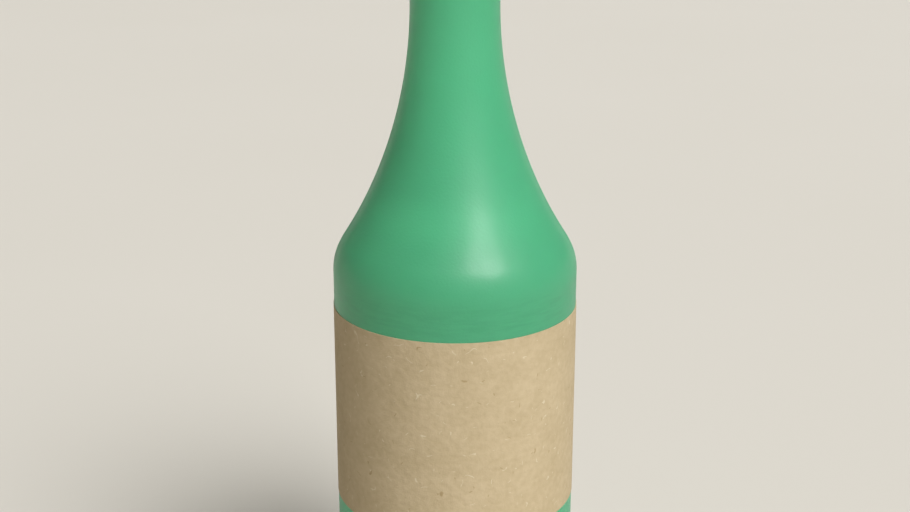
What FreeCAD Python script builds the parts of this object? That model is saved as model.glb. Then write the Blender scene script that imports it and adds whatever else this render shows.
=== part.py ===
"""A corked 75 cl wine bottle with a broad sloping shoulder and a plain wrap-round label.

Three pieces, each a solid of its own: the filled glass bottle, the paper label
round its body and the cork in its mouth. The bottle stands at the origin on its
bearing ring, +Z runs up its axis, and the label's lap is at the back, at +Y.
Sizes are in millimetres.
"""
import FreeCAD
import Part

import math
import os

# ---- Driving dimensions -------------------------------------------------------

# Heights, stacked from the ground up: body, shoulder and neck.
body_height = 158.0
shoulder_height = 83.6
neck_height = 54.4

# Outside of the glass.
body_radius = 40.75
neck_radius = 14.3
shoulder_round = 22.0

# Foot: a rounded heel, a flat bearing ring and the punt pushed up inside it.
heel_round = 6.0
bearing_width = 3.2
bearing_edge_round = 1.2
punt_depth = 20.0

# Finish: the ring of thicker glass round the mouth.
finish_height = 7.0
finish_projection = 1.0
finish_lower_round = 0.6
finish_upper_round = 1.2

# Mouth and cork. The cork is squeezed to the bore, so the two share one radius.
bore_radius = 9.25
mouth_round = 0.8
cork_length = 44.0
cork_recess = 0.8
cork_chamfer = 0.7

# Label: one strip of paper right round the body, its far end lapped over the near one.
label_height = 68.3
label_drop = 17.4
paper_thickness = 0.2
label_lap = 9.0

# ---- Derived heights and radii ------------------------------------------------

neck_foot = body_height + shoulder_height
rim_height = neck_foot + neck_height
finish_radius = neck_radius + finish_projection
finish_foot = rim_height - finish_height
cork_top = rim_height - cork_recess
cork_foot = cork_top - cork_length
label_top = body_height - label_drop
label_foot = label_top - label_height

AXIS_POINT = FreeCAD.Vector(0, 0, 0)
AXIS = FreeCAD.Vector(0, 0, 1)


# ---- Half-section tools: a point is (distance from the axis, height) ------------

def at(radius, height):
    """The point of the half-section at this radius and height."""
    return FreeCAD.Vector(radius, 0, height)


def on_circle(centre, radius, degrees):
    """The point of a circle in the half-section at an angle from outwards, up being 90."""
    turn = math.radians(degrees)
    return at(centre.x + radius * math.cos(turn), centre.z + radius * math.sin(turn))


def line(start, end):
    """A straight edge of the half-section."""
    return Part.LineSegment(start, end).toShape()


def arc(centre, radius, start_degrees, end_degrees):
    """A round edge of the half-section, from one angle of its circle to another."""
    middle_degrees = (start_degrees + end_degrees) / 2
    start = on_circle(centre, radius, start_degrees)
    middle = on_circle(centre, radius, middle_degrees)
    end = on_circle(centre, radius, end_degrees)
    return Part.Arc(start, middle, end).toShape()


def joined(pieces):
    """The pieces in order, with a straight edge wherever one doesn't start where the last ended."""
    edges = []
    for piece in pieces:
        if edges:
            last = edges[-1].Vertexes[-1].Point
            first = piece.Vertexes[0].Point
            if last.distanceToPoint(first) > 1e-6:
                edges.append(line(last, first))
        edges.append(piece)
    edges.append(line(edges[-1].Vertexes[-1].Point, edges[0].Vertexes[0].Point))
    return edges


def turned(pieces):
    """The solid that a half-section sweeps out in one turn round the axis."""
    face = Part.Face(Part.Wire(joined(pieces)))
    return face.revolve(AXIS_POINT, AXIS, 360)


# ---- Bottle -------------------------------------------------------------------

def punt_and_bearing_edge():
    """The domed hollow under the bottle and the rounded edge where it meets the bearing ring."""
    mouth_radius = body_radius - heel_round - bearing_width
    dome_radius = (mouth_radius ** 2 + punt_depth ** 2) / (2 * punt_depth)
    dome_centre = at(0, punt_depth - dome_radius)
    reach = dome_radius + bearing_edge_round
    rise = bearing_edge_round - dome_centre.z
    edge_centre = at(math.sqrt(reach ** 2 - rise ** 2), bearing_edge_round)
    lean = math.degrees(math.atan2(rise, edge_centre.x))
    dome = arc(dome_centre, dome_radius, 90, lean)
    edge = arc(edge_centre, bearing_edge_round, 180 + lean, 270)
    return [dome, edge]


def heel():
    """The quarter round between the bearing ring and the body."""
    centre = at(body_radius - heel_round, heel_round)
    return [arc(centre, heel_round, -90, 0)]


def shoulder():
    """The convex turn at the top of the body and the long hollow sweep up to the neck.

    The sweep is one arc through the corner of the body and upright at the foot of
    the neck, and the turn is an arc that touches both the body and the sweep.
    """
    narrowing = body_radius - neck_radius
    sweep_radius = (shoulder_height ** 2 + narrowing ** 2) / (2 * narrowing)
    sweep_centre = at(neck_radius + sweep_radius, neck_foot)
    reach = sweep_radius + shoulder_round
    run = sweep_centre.x - (body_radius - shoulder_round)
    drop = math.sqrt(reach ** 2 - run ** 2)
    turn_centre = at(body_radius - shoulder_round, neck_foot - drop)
    lean = math.degrees(math.atan2(drop, run))
    turn = arc(turn_centre, shoulder_round, 0, lean)
    sweep = arc(sweep_centre, sweep_radius, 180 + lean, 180)
    return [turn, sweep]


def finish():
    """The neck's top and the ring round the mouth, with rounded edges above and below."""
    lower_centre = at(finish_radius - finish_lower_round, finish_foot + finish_lower_round)
    upper_centre = at(finish_radius - finish_upper_round, rim_height - finish_upper_round)
    mouth_centre = at(bore_radius + mouth_round, rim_height - mouth_round)
    neck_side = line(at(neck_radius, neck_foot), at(neck_radius, finish_foot))
    lower = arc(lower_centre, finish_lower_round, -90, 0)
    upper = arc(upper_centre, finish_upper_round, 0, 90)
    mouth = arc(mouth_centre, mouth_round, 90, 180)
    return [neck_side, lower, upper, mouth]


def bore():
    """The straight bore that holds the cork, closed below it by what the bottle holds."""
    return [line(at(bore_radius, cork_foot), at(0, cork_foot))]


def make_bottle():
    """The shut bottle: glass and contents are one solid, which nothing can be seen into."""
    return turned(punt_and_bearing_edge() + heel() + shoulder() + finish() + bore())


# ---- Label --------------------------------------------------------------------

def paper_band(inner_radius):
    """One layer of the label's paper, right round the bottle."""
    inner = Part.makeCylinder(inner_radius, label_height, at(0, label_foot))
    outer = Part.makeCylinder(inner_radius + paper_thickness, label_height, at(0, label_foot))
    return outer.cut(inner)


def make_label():
    """The strip of paper, two layers thick where its ends lap at the back."""
    lap_radius = body_radius + paper_thickness
    lap_degrees = math.degrees(label_lap / lap_radius)
    axis_edge = line(at(0, label_foot), at(0, label_top))
    upright = axis_edge.extrude(FreeCAD.Vector(2 * lap_radius, 0, 0))
    wedge = upright.revolve(AXIS_POINT, AXIS, lap_degrees)
    wedge.rotate(AXIS_POINT, AXIS, 90 - lap_degrees / 2)
    lap = paper_band(lap_radius).common(wedge)
    return paper_band(body_radius).fuse(lap).removeSplitter()


# ---- Cork ---------------------------------------------------------------------

def make_cork():
    """A straight natural cork with a small chamfer at each end, driven in just below the rim."""
    waist = bore_radius - cork_chamfer
    lower = line(at(0, cork_foot), at(waist, cork_foot))
    side = line(at(bore_radius, cork_foot + cork_chamfer), at(bore_radius, cork_top - cork_chamfer))
    upper = line(at(waist, cork_top), at(0, cork_top))
    return turned([lower, side, upper])


# ---- Write each piece ---------------------------------------------------------

pieces = {
    "bottle": make_bottle(),
    "label": make_label(),
    "cork": make_cork(),
}

os.makedirs("parts", exist_ok=True)
for name, piece in pieces.items():
    volume = round(piece.Volume / 1000, 2)
    print(name, "solids", len(piece.Solids), "valid", piece.isValid(), "cm3", volume)
    piece.exportStep(os.path.join("parts", name + ".step"))
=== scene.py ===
# %% [markdown]
# # A corked wine bottle in satin glass
#
# A full 75 cl bottle stands on a pale studio floor. It is three real pieces: the
# sea-green glass with an acid-etched satin finish, a strip of cream paper glued
# right round the body, and the cork in its mouth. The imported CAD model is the
# frame: it says where every piece is and how big it is. Each piece below is made
# again as a fine mesh in that same place, with a finish of its own.

# %% Load the frame
import math

import bpy
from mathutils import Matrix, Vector, noise


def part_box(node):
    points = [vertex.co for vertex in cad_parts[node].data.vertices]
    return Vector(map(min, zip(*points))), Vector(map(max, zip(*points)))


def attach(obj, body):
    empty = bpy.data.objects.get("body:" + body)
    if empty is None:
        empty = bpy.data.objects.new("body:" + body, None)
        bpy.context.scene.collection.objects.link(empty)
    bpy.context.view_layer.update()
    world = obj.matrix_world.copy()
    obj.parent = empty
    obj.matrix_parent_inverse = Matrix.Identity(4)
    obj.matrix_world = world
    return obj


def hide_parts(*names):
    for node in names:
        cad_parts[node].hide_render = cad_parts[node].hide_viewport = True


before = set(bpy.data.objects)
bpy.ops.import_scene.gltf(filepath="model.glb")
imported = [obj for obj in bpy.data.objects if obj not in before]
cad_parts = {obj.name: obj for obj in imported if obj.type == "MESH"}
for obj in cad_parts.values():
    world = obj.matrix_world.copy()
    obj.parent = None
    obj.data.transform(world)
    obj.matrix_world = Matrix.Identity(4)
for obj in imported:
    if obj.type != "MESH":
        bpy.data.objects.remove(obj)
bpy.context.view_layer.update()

# %% [markdown]
# ## Units and colour
#
# The sizes below are in millimetres, as a glassmaker's drawing gives them, and
# they turn into Blender's metres only when a mesh is made. Colours are written as
# sRGB hex values, the way a colour picker shows them. Blender's shaders work in
# linear light, so one function turns each of them.

# %% Millimetres and linear colour
MM = 0.001


def linear(hex_colour):
    """The linear RGBA value of an sRGB hex colour."""
    channels = [int(hex_colour[i:i + 2], 16) / 255 for i in (1, 3, 5)]
    bent = [c / 12.92 if c <= 0.04045 else ((c + 0.055) / 1.055) ** 2.4 for c in channels]
    return (*bent, 1.0)


print("mid grey #808080 in linear light: %.3f" % linear("#808080")[0])

# %% [markdown]
# ## Where the pieces are
#
# The boxes of the CAD nodes give the overall sizes, so that the meshes land on
# the frame with no fitting. What a box can't say, such as how the shoulder turns
# into the neck, is given as the same few driving sizes that the drawing has.

# %% Sizes from the frame
bottle_low, bottle_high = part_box("bottle")
label_low, label_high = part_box("label")
cork_low, cork_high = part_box("cork")

body_radius = bottle_high[0] / MM
rim_height = bottle_high[2] / MM
label_foot = label_low[2] / MM
label_top = label_high[2] / MM
cork_foot = cork_low[2] / MM
cork_top = cork_high[2] / MM
bore_radius = cork_high[0] / MM
paper_thickness = label_high[0] / MM - body_radius
print("body radius %.2f, rim at %.1f" % (body_radius, rim_height))
print("label from %.1f to %.1f, paper %.2f thick" % (label_foot, label_top, paper_thickness))
print("cork from %.1f to %.1f, bore radius %.2f" % (cork_foot, cork_top, bore_radius))

# %% Sizes of the glass between them
corner_height = 158.0       # where body and shoulder would meet if the turn were sharp
neck_foot = 241.6
neck_radius = 14.3
shoulder_round = 22.0
heel_round = 6.0
bearing_width = 3.2         # the flat ring that the bottle stands on
bearing_edge_round = 1.2
punt_depth = 20.0           # the hollow under the bottle
finish_height = 7.0         # the finish is the ring of thicker glass round the mouth
finish_projection = 1.0
finish_lower_round = 0.6
finish_upper_round = 1.2
mouth_round = 0.8
seam_band = 2.0             # the height given to close rows, where a level seam runs

# %% [markdown]
# ## The outline of the glass
#
# A bottle is round, so half of its section says everything about its shape. It
# could be drawn as a Bezier curve and spun with the Screw modifier. Here the
# outline is worked out from arcs that touch each other, because that is how a
# mould is cut, and because the rows can then lie close together where the glass
# turns sharply and far apart where it is straight.

# %% Rows along an arc and along a straight
row_step = {
    "dome": 1.6, "bearing edge": 0.35, "bearing ring": 0.4, "heel": 0.6, "level seam": 0.12,
    "body": 2.0, "shoulder turn": 0.8, "shoulder sweep": 1.5, "neck": 1.5,
    "ring foot": 0.15, "ring top": 0.25, "mouth": 0.2, "bore": 4.0, "bore end": 2.5,
}


def arc_rows(centre, radius, start_degrees, end_degrees, spacing):
    """Points along an arc of the half-section, about this far apart."""
    sweep = math.radians(end_degrees - start_degrees)
    count = max(3, math.ceil(abs(sweep) * radius / spacing))
    turns = [math.radians(start_degrees) + sweep * i / count for i in range(count + 1)]
    return [(centre[0] + radius * math.cos(t), centre[1] + radius * math.sin(t)) for t in turns]


def straight_rows(start, end, spacing):
    """Points along a straight of the half-section, both ends included."""
    count = max(1, math.ceil(math.dist(start, end) / spacing))
    steps = [i / count for i in range(count + 1)]
    return [(start[0] + (end[0] - start[0]) * s, start[1] + (end[1] - start[1]) * s) for s in steps]


# %% Foot: the punt, the bearing ring and the heel
def foot_rows():
    """The hollow under the bottle, the flat ring it stands on and the rounded heel."""
    mouth_radius = body_radius - heel_round - bearing_width
    dome_radius = (mouth_radius ** 2 + punt_depth ** 2) / (2 * punt_depth)
    dome_height = punt_depth - dome_radius
    reach = dome_radius + bearing_edge_round
    rise = bearing_edge_round - dome_height
    edge_radius = math.sqrt(reach ** 2 - rise ** 2)
    edge_centre = (edge_radius, bearing_edge_round)
    lean = math.degrees(math.atan2(rise, edge_radius))
    heel_centre = (body_radius - heel_round, heel_round)
    seam_end = (body_radius, heel_round + seam_band)
    dome = arc_rows((0, dome_height), dome_radius, 90, lean, row_step["dome"])
    edge = arc_rows(edge_centre, bearing_edge_round, 180 + lean, 270, row_step["bearing edge"])
    ring = straight_rows((edge_radius, 0), (heel_centre[0], 0), row_step["bearing ring"])
    heel = arc_rows(heel_centre, heel_round, -90, 0, row_step["heel"])
    seam = straight_rows((body_radius, heel_round), seam_end, row_step["level seam"])
    return dome + edge + ring + heel + seam, (edge_radius, heel_centre[0])


foot, bearing_ring = foot_rows()
print("foot rows:", len(foot), "bearing ring from %.2f to %.2f mm" % bearing_ring)


# %% Shoulder: a convex turn, then one long hollow sweep up to the neck
def shoulder_rows():
    """The top of the body, the turn of the shoulder and the sweep to the neck."""
    narrowing = body_radius - neck_radius
    rise = neck_foot - corner_height
    sweep_radius = (rise ** 2 + narrowing ** 2) / (2 * narrowing)
    sweep_centre = (neck_radius + sweep_radius, neck_foot)
    run = sweep_centre[0] - (body_radius - shoulder_round)
    drop = math.sqrt((sweep_radius + shoulder_round) ** 2 - run ** 2)
    turn_centre = (body_radius - shoulder_round, neck_foot - drop)
    lean = math.degrees(math.atan2(drop, run))
    body_start = (body_radius, heel_round + seam_band)
    body = straight_rows(body_start, (body_radius, turn_centre[1]), row_step["body"])
    turn = arc_rows(turn_centre, shoulder_round, 0, lean, row_step["shoulder turn"])
    sweep = arc_rows(sweep_centre, sweep_radius, 180 + lean, 180, row_step["shoulder sweep"])
    return body + turn + sweep, turn_centre[1]


shoulder, body_top = shoulder_rows()
print("shoulder rows:", len(shoulder), "straight body ends at %.1f mm" % body_top)


# %% Finish: the ring round the mouth, and the bore that the cork fills
def finish_rows():
    """The neck, the ring of thicker glass at its top, the rounded mouth and the bore."""
    finish_radius = neck_radius + finish_projection
    finish_foot = rim_height - finish_height
    seam_start = (neck_radius, finish_foot - seam_band)
    lower_centre = (finish_radius - finish_lower_round, finish_foot + finish_lower_round)
    upper_centre = (finish_radius - finish_upper_round, rim_height - finish_upper_round)
    mouth_centre = (bore_radius + mouth_round, rim_height - mouth_round)
    bore_start = (bore_radius, rim_height - mouth_round)
    bore_corner = (bore_radius, cork_foot)
    neck = straight_rows((neck_radius, neck_foot), seam_start, row_step["neck"])
    seam = straight_rows(seam_start, (neck_radius, finish_foot), row_step["level seam"])
    lower = arc_rows(lower_centre, finish_lower_round, -90, 0, row_step["ring foot"])
    upper = arc_rows(upper_centre, finish_upper_round, 0, 90, row_step["ring top"])
    mouth = arc_rows(mouth_centre, mouth_round, 90, 180, row_step["mouth"])
    bore = straight_rows(bore_start, bore_corner, row_step["bore"])
    bore_end = straight_rows(bore_corner, (0, cork_foot), row_step["bore end"])
    return neck + seam + lower + upper + mouth + bore + bore_end, finish_foot


finish, finish_foot = finish_rows()
print("finish rows:", len(finish), "ring starts at %.1f mm" % finish_foot)

# %% [markdown]
# ## What the mould leaves on the glass
#
# A bottle is blown in a mould of two halves and a bottom plate. Where the halves
# meet they leave a fine upright seam on each side, and where the neck ring and
# the bottom plate meet the halves they leave a level seam. The wall is never
# quite true either: it swells and sinks by a few hundredths of a millimetre. The
# ring that the bottle stands on is stippled, so that the hot glass touches the
# conveyor only at points. All of this could be faked with bump, but seams catch
# the light at the edge of the bottle, where bump does nothing, so they are real.

# %% The seams of the mould
seam_width = 0.9
seam_height = 0.14
level_seam_share = 0.6      # a level seam is finer than an upright one
level_seam_heights = (heel_round + seam_band / 2, finish_foot - seam_band / 2)


def off_seam(angle):
    """The angle from here to the nearer of the two upright seams, at +X and -X."""
    return min(abs(math.remainder(angle - side, 2 * math.pi)) for side in (0, math.pi))


def seam_profile(distance):
    """How high a mould seam stands at this distance from its middle, in mm."""
    share = min(1.0, abs(distance) / (seam_width / 2))
    return seam_height * (0.5 + 0.5 * math.cos(math.pi * share))


print("upright seams stand %.2f mm proud, level ones %.3f" % (seam_height, level_seam_share * seam_height))

# %% The swell of the wall and the stipple under the foot
wall_swell = 0.035
swell_size = 26.0
swell_stretch = 0.6         # the swells are longer up the bottle than round it
fade_above_heel = 8.0
fade_below_finish = 3.0
stipple_count = 60
stipple_depth = 0.3
print("the wall swells by up to %.3f mm, and the foot has %d points" % (wall_swell, stipple_count))


def glass_relief(angle, radius, height):
    """How far the outside of the glass stands off its true round shape, in mm."""
    if not heel_round <= height <= finish_foot:
        return 0.0
    upright = seam_profile(off_seam(angle) * radius)
    level = max(level_seam_share * seam_profile(height - seam) for seam in level_seam_heights)
    place = Vector((radius * math.cos(angle), radius * math.sin(angle), height * swell_stretch))
    above = (height - heel_round) / fade_above_heel
    below = (finish_foot - height) / fade_below_finish
    return (max(upright, level) + wall_swell * noise.noise(place / swell_size)) * min(1.0, above, below)


def stipple_lift(angle, radius):
    """How far the bearing ring lifts clear of the floor between its points, in mm."""
    inner, outer = bearing_ring
    if not inner < radius < outer:
        return 0.0
    across = math.sin(math.pi * (radius - inner) / (outer - inner))
    return stipple_depth * across * (0.5 - 0.5 * math.cos(stipple_count * angle))


# %% [markdown]
# ## Turning the outline into a mesh
#
# The outline is turned round the axis, one column of points for each angle. The
# columns are even, apart from a few more that crowd each mould seam, because a
# seam under a millimetre wide would fall between even ones. A row on the axis
# is a single point, so the mesh closes there with a fan of triangles.

# %% The columns and rows of the lathe
def columns_round(count, extra_offsets=(), crowd_radius=1.0):
    """Angles right round, with extra ones at these offsets in mm beside both mould seams."""
    even = [2 * math.pi * i / count for i in range(count)]
    crowd = [side + offset / crowd_radius for side in (0, math.pi) for offset in extra_offsets]
    return sorted({round(angle % (2 * math.pi), 6) for angle in even + crowd})


def without_repeats(rows):
    """The rows, each one only once where two stretches share an end."""
    kept = rows[:1]
    for row in rows[1:]:
        if math.dist(row, kept[-1]) > 1e-4:
            kept.append(row)
    return kept


outline = without_repeats(foot + shoulder + finish)
print("the outline of the glass has", len(outline), "rows")


# %% The lathe
def turned_mesh(name, rows, angles, shape):
    """A closed mesh from a half-section that starts and ends on the axis.

    shape may move a point: it takes the angle, radius and height and gives the
    radius and height that the point gets.
    """
    points = []
    rings = []
    for radius, height in rows:
        if radius < 1e-6:
            rings.append([len(points)] * len(angles))
            points.append((0.0, 0.0, height * MM))
            continue
        rings.append(range(len(points), len(points) + len(angles)))
        for angle in angles:
            r, z = shape(angle, radius, height)
            points.append((r * math.cos(angle) * MM, r * math.sin(angle) * MM, z * MM))
    faces = []
    for lower, upper in zip(rings, rings[1:]):
        for i in range(len(angles)):
            j = (i + 1) % len(angles)
            corners = [lower[i], lower[j], upper[j], upper[i]]
            faces.append(list(dict.fromkeys(corners)))
    mesh = bpy.data.meshes.new(name)
    mesh.from_pydata(points, [], faces)
    mesh.validate()
    return mesh


def placed(name, mesh):
    """A smooth-shaded object for the mesh, at the origin and in the scene."""
    for face in mesh.polygons:
        face.use_smooth = True
    piece = bpy.data.objects.new(name, mesh)
    bpy.context.scene.collection.objects.link(piece)
    print(name, "has", len(mesh.vertices), "points and", len(mesh.polygons), "faces")
    return piece


# %% The glass
glass_column_count = 300
seam_steps = (-0.6, -0.45, -0.3, -0.15, 0.15, 0.3, 0.45, 0.6)
seam_offsets = [seam_width * step for step in seam_steps]


def glass_shape(angle, radius, height):
    """A point of the bottle, with the seams, the swell of the wall and the stippled foot."""
    in_mouth = radius <= bore_radius + mouth_round
    in_punt = radius < bearing_ring[0] and height <= punt_depth
    stand_off = 0.0 if in_mouth or in_punt else glass_relief(angle, radius, height)
    lift = stipple_lift(angle, radius) if height < 1e-6 else 0.0
    return radius + stand_off, height + lift


body_columns = columns_round(glass_column_count, seam_offsets, body_radius)
neck_columns = columns_round(glass_column_count, seam_offsets, neck_radius)
glass_columns = sorted(set(body_columns) | set(neck_columns))
glass = placed("glass_bottle", turned_mesh("glass_bottle", outline, glass_columns, glass_shape))

# %% [markdown]
# ## The label
#
# The label is one strip of heavy uncoated paper, a little longer than the bottle
# is round, so that its far end laps over its near end at the back. A tube would
# do from the front, but it would have no lap and no cut edge. Here the strip is a
# sheet with a thickness that travels round the glass once and then climbs over
# its own start. A map in millimetres goes with it, so that the paper's texture
# can be drawn on the flat sheet, before it was bent.

# %% How the strip lies on the glass
label_lap = 9.0
lap_climb = 1.4             # how soon the far end has climbed onto the near one
end_lift = 0.06             # the very end stands off a little
tuck = 0.03                 # the back of the paper reaches this far into the glass
seam_show = 0.6             # the paper smooths a mould seam to this share of its height
seam_spread = 1.8           # and makes it this much wider
paper_swell_size = 30.0
middle_radius = body_radius + paper_thickness / 2
full_turn = 2 * math.pi * middle_radius
strip_length = full_turn + label_lap
strip_height = label_top - label_foot
print("strip of paper %.1f by %.1f mm" % (strip_length, strip_height))


def paper_stand_off(travel, angle):
    """How far the back of the paper stands off the glass, in mm, this far along the strip."""
    climb = min(1.0, max(0.0, (travel - full_turn + lap_climb) / lap_climb))
    eased = climb * climb * (3 - 2 * climb)
    lift = end_lift * max(0.0, (travel - full_turn) / label_lap) ** 3
    over_seam = seam_show * seam_profile(off_seam(angle) * body_radius / seam_spread)
    return eased * paper_thickness + lift + over_seam


# %% The points of the strip
paper_grid = 1.1
across = math.ceil(strip_length / paper_grid)
up = math.ceil(strip_height / paper_grid)


def paper_points(depth):
    """One face of the strip, column by column. depth is how far it lies above the paper's back."""
    points = []
    start_angle = math.pi / 2 - label_lap / middle_radius / 2
    for i in range(across + 1):
        travel = strip_length * i / across
        angle = start_angle + travel / middle_radius
        radius = body_radius + paper_stand_off(travel, angle) + depth
        for j in range(up + 1):
            height = label_foot + strip_height * j / up
            place = Vector((travel / paper_swell_size, height / paper_swell_size, 7.5))
            r = (radius + wall_swell * noise.noise(place)) * MM
            points.append((r * math.cos(angle), r * math.sin(angle), height * MM))
    return points


# %% The strip of paper
def label_mesh(name):
    """A closed sheet: an outer face, an inner face and the four cut edges between them."""
    column = up + 1
    sheet = (across + 1) * column
    faces = []
    for i in range(across):
        for j in range(up):
            a = i * column + j
            b = a + column
            faces.append((a, b, b + 1, a + 1))
            faces.append((sheet + a, sheet + a + 1, sheet + b + 1, sheet + b))
    for i in range(across):
        low = i * column
        high = low + up
        faces.append((low, sheet + low, sheet + low + column, low + column))
        faces.append((high, high + column, sheet + high + column, sheet + high))
    for j in range(up):
        near = j
        far = across * column + j
        faces.append((near, near + 1, sheet + near + 1, sheet + near))
        faces.append((far, sheet + far, sheet + far + 1, far + 1))
    mesh = bpy.data.meshes.new(name)
    mesh.from_pydata(paper_points(paper_thickness) + paper_points(-tuck), [], faces)
    flat = mesh.uv_layers.new(name="sheet_mm")
    for loop in mesh.loops:
        i, j = divmod(loop.vertex_index % sheet, column)
        flat.data[loop.index].uv = (strip_length * i / across, strip_height * j / up)
    return mesh


label = placed("paper_label", label_mesh("paper_label"))
label.data.set_sharp_from_angle(angle=math.radians(50))

# %% [markdown]
# ## The cork
#
# A natural cork is punched out of bark, so its end shows the bark's growth lines
# side by side, and across them run brown channels called lenticels, which are the
# pores that the tree breathed through. It is squeezed into the bore and sits just
# below the rim. The channels are real dents in the mesh, because the end is seen
# at a low angle, where the floor of a dent is hidden by its edge. How deep each
# point lies is kept with the mesh as well, so that the finish can darken exactly
# the same channels. The noises are three-dimensional, and the last number that
# each one is given picks a slice of its own, so that no two are alike.

# %% Growth lines and lenticels
channel_grain = (1.25, 0.42)        # how fast the noise runs across and along a channel, per mm
fleck_grain = (2.6, 1.5)
channel_level = 0.30                # noise above this level is a channel
fleck_level = 0.48
pore_edge = 5.0                     # how steeply a pore's wall goes down
growth_spacing = 1.7
growth_bow = 0.018                  # how much the growth lines curve across the cork
growth_wander = 0.5                 # how far they stray to either side, in mm
growth_grain = (0.2, 0.3)
growth_sharpness = 4                # a higher power leaves a thinner dark line


def pore_at(x, y):
    """How far inside a lenticel this point of the cork's end is, from 0 to 1."""
    channel = noise.noise(Vector((x * channel_grain[0], y * channel_grain[1], 11.7)))
    fleck = noise.noise(Vector((x * fleck_grain[0], y * fleck_grain[1], 4.2)))
    in_channel = max(0.0, (channel - channel_level) * pore_edge)
    in_fleck = max(0.0, (fleck - fleck_level) * pore_edge)
    return min(1.0, in_channel + in_fleck)


def growth_at(x, y):
    """Where this point lies in a year's growth: 1 on the dark line and 0 in the pale cork."""
    stray = noise.noise(Vector((x * growth_grain[0], y * growth_grain[1], 2.5)))
    bow = growth_bow * x * x + growth_wander * stray
    phase = (y + bow) / growth_spacing
    return (0.5 + 0.5 * math.cos(2 * math.pi * phase)) ** growth_sharpness


print("the cork's end crosses about %.0f growth lines" % (2 * bore_radius / growth_spacing))

# %% The cork
cork_chamfer = 0.7
bite = 0.02                         # the cork presses this far into the glass, so no gap shows
rim_margin = 0.2
pore_depth = 0.5
growth_depth = 0.07
cork_column_count = 240
cork_step = {"foot": 3.0, "barrel": 6.0, "top": 0.18}


def cork_shape(angle, radius, height):
    """A point of the cork, with lenticels and growth lines sunk into its upper end."""
    if height < cork_top - 1e-6 or radius > bore_radius - cork_chamfer - rim_margin:
        return radius, height
    x = radius * math.cos(angle)
    y = radius * math.sin(angle)
    return radius, height - pore_depth * pore_at(x, y) - growth_depth * growth_at(x, y)


def cork_rows():
    """The half-section of the cork, chamfered at both ends."""
    side = bore_radius + bite
    waist = side - cork_chamfer
    side_foot = (side, cork_foot + cork_chamfer)
    foot_end = straight_rows((0, cork_foot - bite), (waist, cork_foot - bite), cork_step["foot"])
    barrel = straight_rows(side_foot, (side, cork_top - cork_chamfer), cork_step["barrel"])
    top_end = straight_rows((waist, cork_top), (0, cork_top), cork_step["top"])
    return foot_end + barrel + top_end


cork_columns = columns_round(cork_column_count)
cork = placed("natural_cork", turned_mesh("natural_cork", cork_rows(), cork_columns, cork_shape))
cork.data.set_sharp_from_angle(angle=math.radians(60))
for layer, value_at in (("lenticel", pore_at), ("growth", growth_at)):
    values = cork.data.attributes.new(layer, "FLOAT", "POINT")
    for point in cork.data.vertices:
        values.data[point.index].value = value_at(point.co.x / MM, point.co.y / MM)
    print(layer, "is kept on", len(values.data), "points")

# %% [markdown]
# ## Building materials from nodes
#
# Each finish is a small network of shader nodes. Adding a node, setting it and
# wiring it takes several lines every time, so one function does all three. It
# gives back the node, and the next node names the output that it wants.

# %% One function that adds a node
def add(tree, kind, inputs=None, **settings):
    """Adds a node. settings are its own properties; inputs are numbers, or sockets to wire in."""
    node = tree.nodes.new(kind)
    for name, value in settings.items():
        setattr(node, name, value)
    for name, value in (inputs or {}).items():
        if isinstance(value, bpy.types.NodeSocket):
            tree.links.new(value, node.inputs[name])
        else:
            node.inputs[name].default_value = value
    return node


def new_material(name):
    """An empty material with its surface shader wired to the output."""
    material = bpy.data.materials.new(name)
    material.use_nodes = True
    tree = material.node_tree
    tree.nodes.clear()
    output = add(tree, "ShaderNodeOutputMaterial")
    shader = add(tree, "ShaderNodeBsdfPrincipled")
    tree.links.new(shader.outputs["BSDF"], output.inputs["Surface"])
    return material, tree, shader


def finish_in(piece, material):
    """Gives the piece its only material."""
    piece.data.materials.append(material)
    print(piece.name, "is finished in", material.name, "with", len(material.node_tree.nodes), "nodes")


# %% [markdown]
# ## Acid-etched soda-lime glass
#
# The glass is green through and through, and then its outside is bitten by acid
# to a fine satin. The bite scatters the light both ways: the bottle mirrors the
# room only as soft sheens, and what is inside it can't be made out. So the
# shader is a rough dielectric of IOR 1.52 that lets a part of the light through
# and spreads the rest under the surface. The tops of the bite stay nearly flat,
# which adds a weaker and tighter sheen, made here with a thin coat. Its colour
# drifts a little over a few centimetres and is deeper where the glass is thick,
# at the heel and at the ring round the mouth.

# %% Thick glass
heel_thickening = 16.0      # below this height the glass gets thicker towards the floor
heel_deepening = 0.7        # share of the deeper green at the very foot
ring_deepening = 0.35       # and at the ring round the mouth
ring_edge = 1.0


def height_band(tree, height, low, high, soft):
    """1 between two heights in mm and 0 away from them, with soft ends."""
    rise = add(tree, "ShaderNodeMapRange", {
        "Value": height, "From Min": (low - soft) * MM, "From Max": (low + soft) * MM})
    fall = add(tree, "ShaderNodeMapRange", {
        "Value": height, "From Min": (high + soft) * MM, "From Max": (high - soft) * MM})
    return add(tree, "ShaderNodeMath", {0: rise.outputs["Result"], 1: fall.outputs["Result"]},
               operation="MULTIPLY").outputs["Value"]


def thick_glass(tree, height):
    """The share of deeper green that comes from thick glass."""
    heel = add(tree, "ShaderNodeMapRange", {
        "Value": height, "From Min": heel_thickening * MM, "From Max": 0.0, "To Max": heel_deepening})
    ring = height_band(tree, height, finish_foot, rim_height, ring_edge)
    return add(tree, "ShaderNodeMath", {0: ring, 1: ring_deepening, 2: heel.outputs["Result"]},
               operation="MULTIPLY_ADD").outputs["Value"]


print("the green deepens below %.0f mm and above %.0f mm" % (heel_thickening, finish_foot))

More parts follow.
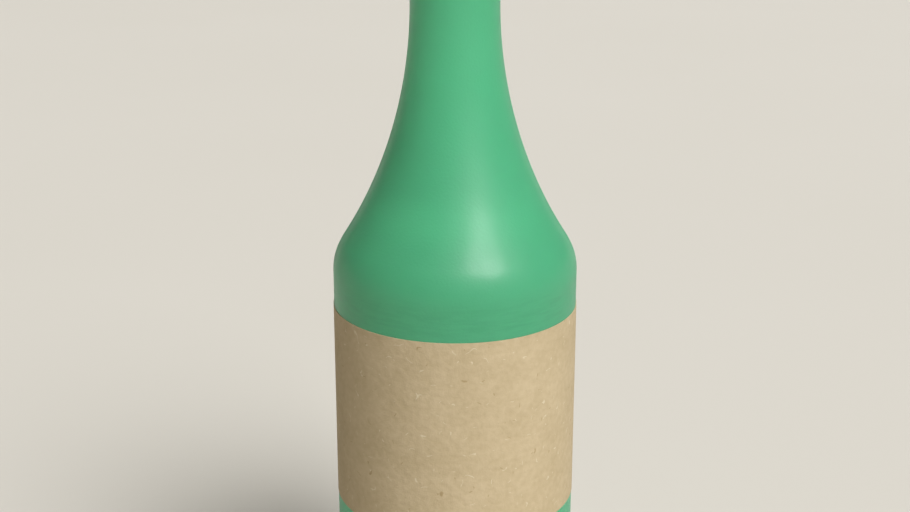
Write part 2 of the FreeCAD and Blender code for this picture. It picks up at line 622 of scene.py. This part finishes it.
# %% [markdown]
# Bottles stand close together in their cases and on the filling line, and they
# rub at the two places where they touch: just above the heel and just under the
# shoulder. There the satin is worn a little smoother and darker, in level
# streaks, as the bottles turn against each other. The streaks are a noise
# squeezed flat, and they are kept to the outside of the wall by their distance
# from the axis.

# %% Where the satin is rubbed
rubbed_heel = (6.0, 16.0)
rubbed_shoulder = (141.0, 152.0)
rubbed_edge_heel = 2.0
rubbed_edge_shoulder = 3.0
rubbed_depth = 4.0
streak_size = 9.0
streak_flatness = 7.0
streak_levels = (0.42, 0.62)    # noise below the first is unworn, above the second fully worn


def worn_streaks(tree, place):
    """Level streaks all over, from 0 for fresh satin to 1 for worn."""
    level = add(tree, "ShaderNodeMapping", {"Vector": place, "Scale": (1.0, 1.0, streak_flatness)})
    streaks = add(tree, "ShaderNodeTexNoise", {
        "Vector": level.outputs["Vector"], "Scale": 1 / (streak_size * MM),
        "Detail": 4.0, "Roughness": 0.6})
    return add(tree, "ShaderNodeMapRange", {
        "Value": streaks.outputs["Fac"],
        "From Min": streak_levels[0], "From Max": streak_levels[1]}).outputs["Result"]


def contact_zone(tree, place, height):
    """1 on the outside of the wall where bottles touch, and 0 elsewhere."""
    at_heel = height_band(tree, height, *rubbed_heel, rubbed_edge_heel)
    at_shoulder = height_band(tree, height, *rubbed_shoulder, rubbed_edge_shoulder)
    either = add(tree, "ShaderNodeMath", {0: at_heel, 1: at_shoulder}, operation="ADD")
    flat = add(tree, "ShaderNodeMapping", {"Vector": place, "Scale": (1.0, 1.0, 0.0)})
    radius = add(tree, "ShaderNodeVectorMath", {0: flat.outputs["Vector"]}, operation="LENGTH")
    outside = add(tree, "ShaderNodeMapRange", {
        "Value": radius.outputs["Value"],
        "From Min": (body_radius - rubbed_depth) * MM,
        "From Max": (body_radius - rubbed_depth / 2) * MM})
    return add(tree, "ShaderNodeMath", {0: either.outputs["Value"], 1: outside.outputs["Result"]},
               operation="MULTIPLY").outputs["Value"]


print("rubbed from %.0f to %.0f mm and from %.0f to %.0f mm" % (*rubbed_heel, *rubbed_shoulder))

# %% [markdown]
# The mouth is stopped and held clear of the acid bath, so it keeps the bright
# skin that the flame gave it. Everywhere else the etch has a grain of a few
# hundredths of a millimetre, too fine to show, so it is drawn about twenty times
# as coarse. How deep the acid bit varies slowly, and the roughness follows it.

# %% The satin glass
bright_mouth = 1.5
bright_edge = 0.4
bright_roughness = 0.12
satin_roughness = (0.44, 0.54)
rubbed_polish = -0.09
rubbed_deepening = 0.16
colour_drift_size = 38.0
bite_size = 11.0
grain_size = 0.8
grain_height = 0.12
grain_strength = 0.5
usual_noise = (0.3, 0.7)        # nearly all of a noise lies between these


def glass_colour(tree, place, height, rubbed):
    """Sea green, deeper where the glass is thick or rubbed."""
    drift = add(tree, "ShaderNodeTexNoise", {
        "Vector": place, "Scale": 1 / (colour_drift_size * MM), "Detail": 2.0})
    green = add(tree, "ShaderNodeMix", {
        "Factor": drift.outputs["Fac"], "A": linear("#55C992"), "B": linear("#64D49F")},
        data_type="RGBA")
    deep = add(tree, "ShaderNodeMath", {0: rubbed, 1: rubbed_deepening, 2: thick_glass(tree, height)},
               operation="MULTIPLY_ADD")
    return add(tree, "ShaderNodeMix", {
        "Factor": deep.outputs["Value"], "A": green.outputs["Result"], "B": linear("#2C9A6A")},
        data_type="RGBA").outputs["Result"]


def glass_roughness(tree, place, bright, rubbed):
    """The satin's roughness, lower where it is rubbed and much lower at the bright mouth."""
    bite_depth = add(tree, "ShaderNodeTexNoise", {
        "Vector": place, "Scale": 1 / (bite_size * MM), "Detail": 5.0})
    satin = add(tree, "ShaderNodeMapRange", {
        "Value": bite_depth.outputs["Fac"], "From Min": usual_noise[0], "From Max": usual_noise[1],
        "To Min": satin_roughness[0], "To Max": satin_roughness[1]})
    etched = add(tree, "ShaderNodeMath", {0: rubbed, 1: rubbed_polish, 2: satin.outputs["Result"]},
                 operation="MULTIPLY_ADD")
    return add(tree, "ShaderNodeMix", {
        "Factor": bright, "A": etched.outputs["Value"], "B": bright_roughness}).outputs["Result"]


def etch_grain(tree, place, bright):
    """The grain of the etch as bump, which fades out where the skin is bright."""
    grain = add(tree, "ShaderNodeTexNoise", {
        "Vector": place, "Scale": 1 / (grain_size * MM), "Detail": 3.0})
    strength = add(tree, "ShaderNodeMapRange", {"Value": bright, "To Min": grain_strength, "To Max": 0.0})
    return add(tree, "ShaderNodeBump", {
        "Height": grain.outputs["Fac"], "Strength": strength.outputs["Result"],
        "Distance": grain_height * MM}).outputs["Normal"]


# %% The glass shader
def etched_glass():
    """Satin sea-green bottle glass, with what doesn't vary set on the shader itself."""
    material, tree, shader = new_material("acid_etched_soda_lime_glass")
    place = add(tree, "ShaderNodeTexCoord").outputs["Object"]
    height = add(tree, "ShaderNodeSeparateXYZ", {"Vector": place}).outputs["Z"]
    bright = add(tree, "ShaderNodeMapRange", {
        "Value": height, "From Min": (rim_height - bright_mouth) * MM,
        "From Max": (rim_height - bright_mouth + bright_edge) * MM}).outputs["Result"]
    streaks = worn_streaks(tree, place)
    contact = contact_zone(tree, place, height)
    rubbed = add(tree, "ShaderNodeMath", {0: streaks, 1: contact}, operation="MULTIPLY").outputs["Value"]
    tree.links.new(glass_colour(tree, place, height, rubbed), shader.inputs["Base Color"])
    tree.links.new(glass_roughness(tree, place, bright, rubbed), shader.inputs["Roughness"])
    tree.links.new(etch_grain(tree, place, bright), shader.inputs["Normal"])
    shader.inputs["IOR"].default_value = 1.52
    shader.inputs["Specular IOR Level"].default_value = 0.3
    shader.inputs["Transmission Weight"].default_value = 0.46
    shader.inputs["Subsurface Weight"].default_value = 0.25
    shader.inputs["Subsurface Radius"].default_value = (0.4, 1.0, 0.7)
    shader.inputs["Subsurface Scale"].default_value = 6 * MM
    shader.inputs["Coat Weight"].default_value = 0.15
    shader.inputs["Coat Roughness"].default_value = 0.22
    return material


finish_in(glass, etched_glass())

# %% [markdown]
# ## Uncoated felt-marked paper
#
# Fine wine labels are printed on a heavy cream paper with no coating. The wet
# sheet is pressed on a woollen felt, which leaves soft dimples about two
# millimetres apart, and a few loose plant fibres show in it as threads, some
# paler than the sheet and some darker. Paper has hardly any gloss, so what makes
# it look like paper is this relief and the slight unevenness of its cream. The
# cream is also painted a little darker down in the dimples, as painted shade. The
# fibres are drawn with a trick: a noise has a value of one half along thin
# winding lines, and a second noise cuts those lines into short lengths.

# %% Fibres in the sheet
fibre_length = 2.6
fibre_end = 0.03
cut_offset = (37.0, 11.0)       # the cutting noise lies elsewhere than the winding one


def fibres(tree, sheet, wander, width, keep):
    """1 on short winding threads and 0 off them.

    wander is how far apart they wind in mm, width is how far the noise may be from
    one half on a thread, and a higher keep leaves fewer and shorter threads.
    """
    winding = add(tree, "ShaderNodeTexNoise", {"Vector": sheet, "Scale": 1 / wander, "Detail": 1.0})
    offset = add(tree, "ShaderNodeMath", {0: winding.outputs["Fac"], 1: 0.5}, operation="SUBTRACT")
    distance = add(tree, "ShaderNodeMath", {0: offset.outputs["Value"]}, operation="ABSOLUTE")
    line = add(tree, "ShaderNodeMapRange", {
        "Value": distance.outputs["Value"], "From Min": width, "From Max": width / 3})
    shifted = add(tree, "ShaderNodeMapping", {"Vector": sheet, "Location": (*cut_offset, wander)})
    cut = add(tree, "ShaderNodeTexNoise", {
        "Vector": shifted.outputs["Vector"], "Scale": 1 / fibre_length, "Detail": 1.0})
    lengths = add(tree, "ShaderNodeMapRange", {
        "Value": cut.outputs["Fac"], "From Min": keep, "From Max": keep + fibre_end})
    return add(tree, "ShaderNodeMath", {0: line.outputs["Result"], 1: lengths.outputs["Result"]},
               operation="MULTIPLY").outputs["Value"]


# %% The label paper
felt_spacing = 2.2
fuzz_size = 0.5
fuzz_share = 0.35
relief_height = 0.17
cream_patch_size = 11.0
dark_fibre = {"wander": 8.0, "width": 0.012, "keep": 0.65}
pale_fibre = {"wander": 6.0, "width": 0.014, "keep": 0.62}
usual_sum = (0.7, 1.3)          # nearly all of the sum of two noises lies between these


def paper_colour(tree, sheet, felt):
    """Cream that drifts a little at random and is painted darker down in the felt dimples as shade, with
    darker and paler fibres in it.
    """
    patches = add(tree, "ShaderNodeTexNoise", {
        "Vector": sheet, "Scale": 1 / cream_patch_size, "Detail": 4.0})
    # painted shade: the felt's relief height darkens the cream in its dimples, on top of random patches of
    # tone
    dimple_shade_and_tone = add(tree, "ShaderNodeMath", {0: felt, 1: patches.outputs["Fac"]}, operation="ADD")
    spread = add(tree, "ShaderNodeMapRange", {
        "Value": dimple_shade_and_tone.outputs["Value"], "From Min": usual_sum[0], "From Max": usual_sum[1]})
    cream = add(tree, "ShaderNodeMix", {
        "Factor": spread.outputs["Result"], "A": linear("#B8A684"), "B": linear("#C4B291")},
        data_type="RGBA")
    threaded = add(tree, "ShaderNodeMix", {
        "Factor": fibres(tree, sheet, **dark_fibre), "A": cream.outputs["Result"],
        "B": linear("#A8946F")}, data_type="RGBA")
    return add(tree, "ShaderNodeMix", {
        "Factor": fibres(tree, sheet, **pale_fibre), "A": threaded.outputs["Result"],
        "B": linear("#D0C2A4")}, data_type="RGBA").outputs["Result"]


def felt_marked_paper():
    """Cream uncoated paper, drawn on the sheet's own map in millimetres."""
    material, tree, shader = new_material("uncoated_felt_marked_paper")
    sheet = add(tree, "ShaderNodeUVMap", uv_map="sheet_mm").outputs["UV"]
    felt = add(tree, "ShaderNodeTexNoise", {
        "Vector": sheet, "Scale": 1 / felt_spacing, "Detail": 2.0}).outputs["Fac"]
    fuzz = add(tree, "ShaderNodeTexNoise", {"Vector": sheet, "Scale": 1 / fuzz_size, "Detail": 4.0})
    relief = add(tree, "ShaderNodeMath", {0: fuzz.outputs["Fac"], 1: fuzz_share, 2: felt},
                 operation="MULTIPLY_ADD")
    dimples = add(tree, "ShaderNodeBump", {
        "Height": relief.outputs["Value"], "Strength": 1.0, "Distance": relief_height * MM})
    tree.links.new(paper_colour(tree, sheet, felt), shader.inputs["Base Color"])
    tree.links.new(dimples.outputs["Normal"], shader.inputs["Normal"])
    shader.inputs["Roughness"].default_value = 0.85
    shader.inputs["IOR"].default_value = 1.45
    shader.inputs["Specular IOR Level"].default_value = 0.3
    return material


finish_in(label, felt_marked_paper())

# %% [markdown]
# ## Natural cork bark
#
# Cork is bark: a pale dry tan that is darker along its growth lines and brown in
# its lenticels. Both are read from the mesh, where the same lines are pressed in,
# so colour and dent can't drift apart. A fine crumb goes over the whole. The real
# cells are a few hundredths of a millimetre across, too fine to show, so the
# crumb is drawn about twenty times as coarse.

# %% The cork bark
crumb_size = 0.7
crumb_height = 0.15
crumb_strength = 0.7
growth_darkening = 0.6


def cork_bark():
    """Pale tan cork with darker growth lines and brown lenticels."""
    material, tree, shader = new_material("natural_cork_bark")
    place = add(tree, "ShaderNodeTexCoord").outputs["Object"]
    lenticel = add(tree, "ShaderNodeAttribute", attribute_name="lenticel").outputs["Fac"]
    growth = add(tree, "ShaderNodeAttribute", attribute_name="growth").outputs["Fac"]
    crumb = add(tree, "ShaderNodeTexNoise", {
        "Vector": place, "Scale": 1 / (crumb_size * MM), "Detail": 5.0})
    tan = add(tree, "ShaderNodeMix", {
        "Factor": crumb.outputs["Fac"], "A": linear("#A88B66"), "B": linear("#D2BB97")},
        data_type="RGBA")
    year = add(tree, "ShaderNodeMath", {0: growth, 1: growth_darkening}, operation="MULTIPLY")
    lined = add(tree, "ShaderNodeMix", {
        "Factor": year.outputs["Value"], "A": tan.outputs["Result"], "B": linear("#86643F")},
        data_type="RGBA")
    bark = add(tree, "ShaderNodeMix", {
        "Factor": lenticel, "A": lined.outputs["Result"], "B": linear("#4A3423")}, data_type="RGBA")
    relief = add(tree, "ShaderNodeBump", {
        "Height": crumb.outputs["Fac"], "Strength": crumb_strength, "Distance": crumb_height * MM})
    tree.links.new(bark.outputs["Result"], shader.inputs["Base Color"])
    tree.links.new(relief.outputs["Normal"], shader.inputs["Normal"])
    shader.inputs["Roughness"].default_value = 0.85
    shader.inputs["Specular IOR Level"].default_value = 0.3
    return material


finish_in(cork, cork_bark())

# %% [markdown]
# ## The studio
#
# The bottle stands on a wide floor in matt pale paint. The floor is one large
# square that reaches far past the edges of the picture. It isn't part of the
# bottle.

# %% The floor
floor_reach = 30.0              # metres from the bottle to the floor's sides
floor_patches = 3.0             # uneven patches in a metre of paint


def floor_mesh(name):
    """A wide level sheet at the height that the bottle stands on."""
    corners = [(-floor_reach, -floor_reach), (floor_reach, -floor_reach),
               (floor_reach, floor_reach), (-floor_reach, floor_reach)]
    mesh = bpy.data.meshes.new(name)
    mesh.from_pydata([(x, y, bottle_low[2]) for x, y in corners], [], [(0, 1, 2, 3)])
    return mesh


def painted_floor():
    """Matt studio floor paint, pale and very slightly uneven."""
    material, tree, shader = new_material("matt_floor_paint")
    place = add(tree, "ShaderNodeTexCoord").outputs["Object"]
    patches = add(tree, "ShaderNodeTexNoise", {"Vector": place, "Scale": floor_patches, "Detail": 2.0})
    pale = add(tree, "ShaderNodeMix", {
        "Factor": patches.outputs["Fac"], "A": linear("#D0CCC2"), "B": linear("#D3CFC6")},
        data_type="RGBA")
    tree.links.new(pale.outputs["Result"], shader.inputs["Base Color"])
    shader.inputs["Roughness"].default_value = 0.75
    return material


floor = placed("studio_floor", floor_mesh("studio_floor"))
finish_in(floor, painted_floor())

# %% [markdown]
# A pale room would light the bottle evenly from all sides, and its round body
# would look flat. So the room has two faces: walls that look pale when they are
# seen directly, and a weak warm glow for everything that they light. The Light
# Path node tells the two apart.

# %% The room
def pale_room(name):
    """A room whose walls look pale but give the bottle only a little warm light."""
    world = bpy.data.worlds.new(name)
    world.use_nodes = True
    tree = world.node_tree
    tree.nodes.clear()
    glow = add(tree, "ShaderNodeBackground", {"Color": linear("#F5EDE2"), "Strength": 0.1})
    wall = add(tree, "ShaderNodeBackground", {"Color": linear("#DAD6CC"), "Strength": 1.0})
    seen = add(tree, "ShaderNodeLightPath").outputs["Is Camera Ray"]
    room = add(tree, "ShaderNodeMixShader", {
        "Fac": seen, 1: glow.outputs["Background"], 2: wall.outputs["Background"]})
    add(tree, "ShaderNodeOutputWorld", {"Surface": room.outputs["Shader"]})
    return world


bpy.context.scene.world = pale_room("pale_room")
print("the room has", len(bpy.context.scene.world.node_tree.nodes), "nodes")

# %% [markdown]
# The lights could be area lamps, but those fall off with distance and would leave
# the far floor dark. These are suns, as strong all over the floor, with a disc as
# wide as a large softbox looks, so that shadows and sheens stay soft. The strong
# one, high at the front right, models the round body. A very weak one at the
# left warms the shaded side, and one behind lifts the far side.

# %% Lights
middle = (0.0, 0.0, rim_height / 2 * MM)
sun_distance = 3.0              # metres; a sun shines alike from anywhere, so this is only its place


def aim(thing, place, target):
    """Puts a light or camera at a place and points it at a target."""
    thing.location = place
    thing.rotation_mode = "QUATERNION"
    thing.rotation_quaternion = (Vector(target) - Vector(place)).to_track_quat("-Z", "Y")
    bpy.context.scene.collection.objects.link(thing)


def around(azimuth, elevation, distance, target):
    """A place this far from the target; azimuth 0 is the front, -Y, and 90 is the right, +X."""
    turn = math.radians(azimuth)
    tilt = math.radians(elevation)
    away = Vector((math.sin(turn) * math.cos(tilt), -math.cos(turn) * math.cos(tilt), math.sin(tilt)))
    return Vector(target) + away * distance


def soft_sun(name, azimuth, elevation, spread_degrees, strength, colour):
    """A sun whose disc is as wide as a large softbox."""
    lamp = bpy.data.lights.new(name, "SUN")
    lamp.angle = math.radians(spread_degrees)
    lamp.energy = strength
    lamp.color = linear(colour)[:3]
    aim(bpy.data.objects.new(name, lamp), around(azimuth, elevation, sun_distance, middle), middle)
    print(name, "light: azimuth", azimuth, "elevation", elevation, "strength", strength)


soft_sun("key", 39, 48, 33, 3.7, "#FFFFFF")
soft_sun("fill", -75, 25, 60, 0.08, "#FFE6C8")
soft_sun("back", 165, 40, 50, 0.7, "#FFFFFF")

# %% [markdown]
# ## The camera
#
# A long lens looks down a little on the bottle from close by, so that the level
# edges of the label bow and the frame crops the mouth and the foot. The plain
# view transform shows each colour as it was chosen, with no film curve over it.

# %% The camera
lens_mm = 61.82
look_down = 18.285
aim_height = 156.0
camera_distance = 523.5

camera_data = bpy.data.cameras.new("camera")
camera_data.lens = lens_mm
camera = bpy.data.objects.new("camera", camera_data)
camera_target = (0.0, 0.0, aim_height * MM)
aim(camera, around(0, look_down, camera_distance * MM, camera_target), camera_target)
bpy.context.scene.camera = camera
bpy.context.scene.view_settings.view_transform = "Standard"
print("camera at", [round(value, 3) for value in camera.location])

# %% [markdown]
# ## Handing the pieces to the frame
#
# Nothing on a shut bottle moves, so every piece rides on the one body. Each mesh
# stands for the CAD node that it was made from, and that node is hidden.

# %% Ride and replace
for piece, node, finish_slot in (
    (glass, "bottle", "satin_glass"),
    (label, "label", "label_paper"),
    (cork, "cork", "natural_cork"),
):
    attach(piece, "root")
    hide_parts(node)
    print(piece.name, "stands for", node)
